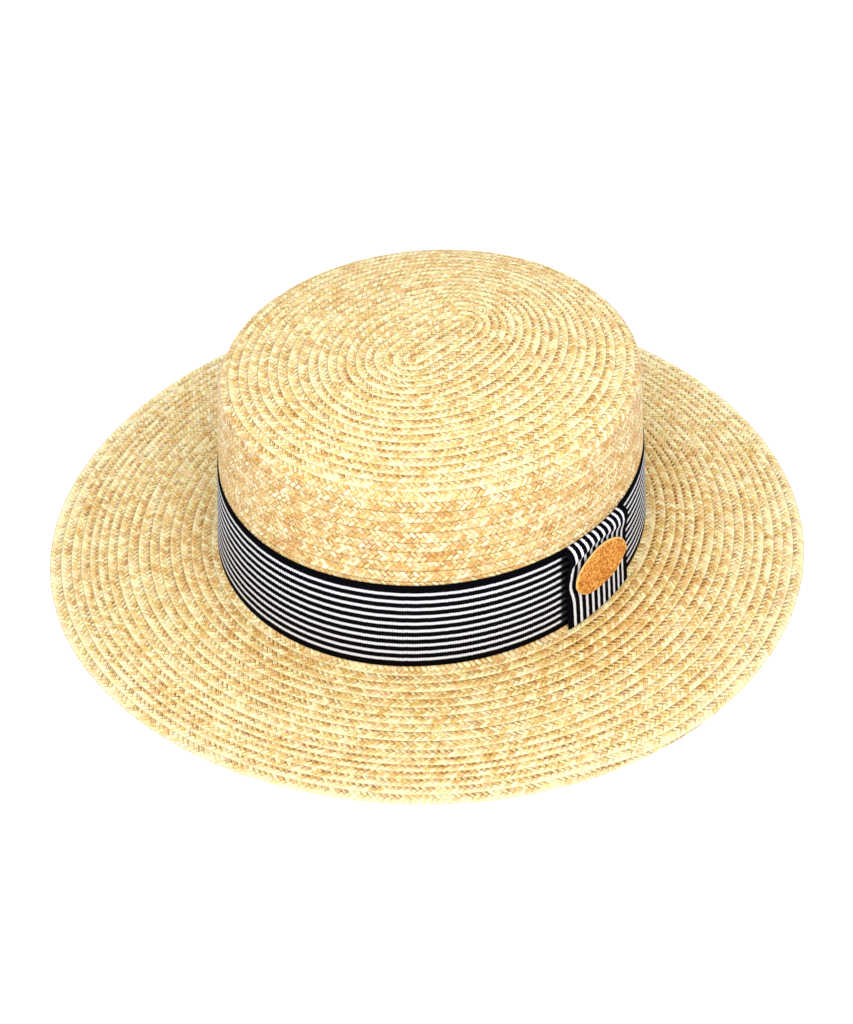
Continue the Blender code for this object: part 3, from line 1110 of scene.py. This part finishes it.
bandCloth, bandLength = buildBand()
frontEdge = loopAngleAt(-ribbon["width"] / 2, patch["height"])
frontRib = (1 + frontEdge / (2 * math.pi)) * round(bandLength / ribbon["rib"])
ribbonGroup = ribbonWeaveGroup()
bandMaterial = makeMaterial(
    "striped_grosgrain_band", ribbonGroup, {"Cloth": "cloth", "Shade At": frontRib}, ribbon,
)
loopMaterial = makeMaterial(
    "striped_grosgrain", ribbonGroup, {"Cloth": "cloth", "Rib Depth": loop["ribDepth"]}, ribbon,
)
leatherMaterial = makeMaterial("tan_leather_hide", leatherGrainGroup(), {"Hide": "hide"}, leather)
loopCloth = buildLoop()
patchHide = buildPatch()
for piece, material, node, slotName in (
    (bandCloth, bandMaterial, "ribbon_band", "striped_ribbon"),
    (loopCloth, loopMaterial, "bow_loop", "striped_ribbon"),
    (patchHide, leatherMaterial, "leather_patch", "tan_leather"),
):
    piece.data.materials.append(material)
    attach(piece, "root")
    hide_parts(node)
print("ribbon and patch dressed, band length", round(bandLength, 4))

camera = {
    "azimuth": 38.0,
    "elevation": 41.0,
    "distance": 0.60923,
    "target": (0.02673, -0.03746, 0.042),
    "roll": -1.25,
    "lens": 64.87,
    "sensor": 36.0,
    "nearest": 0.01,
}


def directionTo(azimuthDegrees, elevationDegrees):
    azimuth = math.radians(azimuthDegrees)
    elevation = math.radians(elevationDegrees)
    return Vector((
        math.sin(azimuth) * math.cos(elevation),
        -math.cos(azimuth) * math.cos(elevation),
        math.sin(elevation),
    ))


def placeCamera():
    away = directionTo(camera["azimuth"], camera["elevation"])
    right = (-away).cross(Vector((0, 0, 1))).normalized()
    turn = Matrix((right, right.cross(-away), away)).transposed()
    turn = turn @ Matrix.Rotation(math.radians(camera["roll"]), 3, "Z")
    data = bpy.data.cameras.new("camera")
    data.sensor_fit = "HORIZONTAL"
    data.sensor_width = camera["sensor"]
    data.lens = camera["lens"]
    data.clip_start = camera["nearest"]
    holder = addObject("camera", data)
    place = Vector(camera["target"]) + away * camera["distance"]
    holder.matrix_world = Matrix.Translation(place) @ turn.to_4x4()
    bpy.context.scene.camera = holder


studio = {
    "floorHalf": 3.0,
    "floor": {
        "Base Color": (0.97, 0.97, 0.97, 1.0),
        "Roughness": 0.9,
        "Emission Color": (1.0, 1.0, 1.0, 1.0),
        "Emission Strength": 0.25,
    },
    "ambient": 0.80,
    "keyAzimuth": 42.0,
    "keyElevation": 54.0,
    "keyDistance": 0.70,
    "keySize": 0.55,
    "keyEnergy": 3.6,
    "keyAim": 0.04,  # height of the point that the key light turns round
}


def makeFloor():
    half = studio["floorHalf"]
    mesh = bpy.data.meshes.new("floor")
    corners = [(-half, -half, 0), (half, -half, 0), (half, half, 0), (-half, half, 0)]
    mesh.from_pydata(corners, [], [range(4)])
    floor = addObject("floor", mesh)
    material = bpy.data.materials.new("pale_floor")
    material.use_nodes = True
    shader = material.node_tree.nodes["Principled BSDF"]
    for label, value in studio["floor"].items():
        shader.inputs[label].default_value = value
    floor.data.materials.append(material)


def lightStudio():
    world = bpy.data.worlds.new("studio")
    bpy.context.scene.world = world
    world.use_nodes = True
    background = world.node_tree.nodes["Background"]
    background.inputs["Color"].default_value = (1, 1, 1, 1)
    # the backdrop itself is seen as plain white, and lights the hat a little less than that
    seen = Value(world.node_tree.nodes.new("ShaderNodeLightPath").outputs["Is Camera Ray"])
    feed(background.inputs["Strength"], blend(seen, studio["ambient"], 1.0))
    light = bpy.data.lights.new("key", "AREA")
    light.size = studio["keySize"]
    light.energy = studio["keyEnergy"]
    key = addObject("key", light)
    toKey = directionTo(studio["keyAzimuth"], studio["keyElevation"])
    key.location = toKey * studio["keyDistance"] + Vector((0, 0, studio["keyAim"]))
    key.rotation_euler = (-toKey).to_track_quat("-Z", "Y").to_euler()
    bpy.context.scene.view_settings.view_transform = "Standard"


placeCamera()
makeFloor()
lightStudio()
print("camera, floor and light placed")
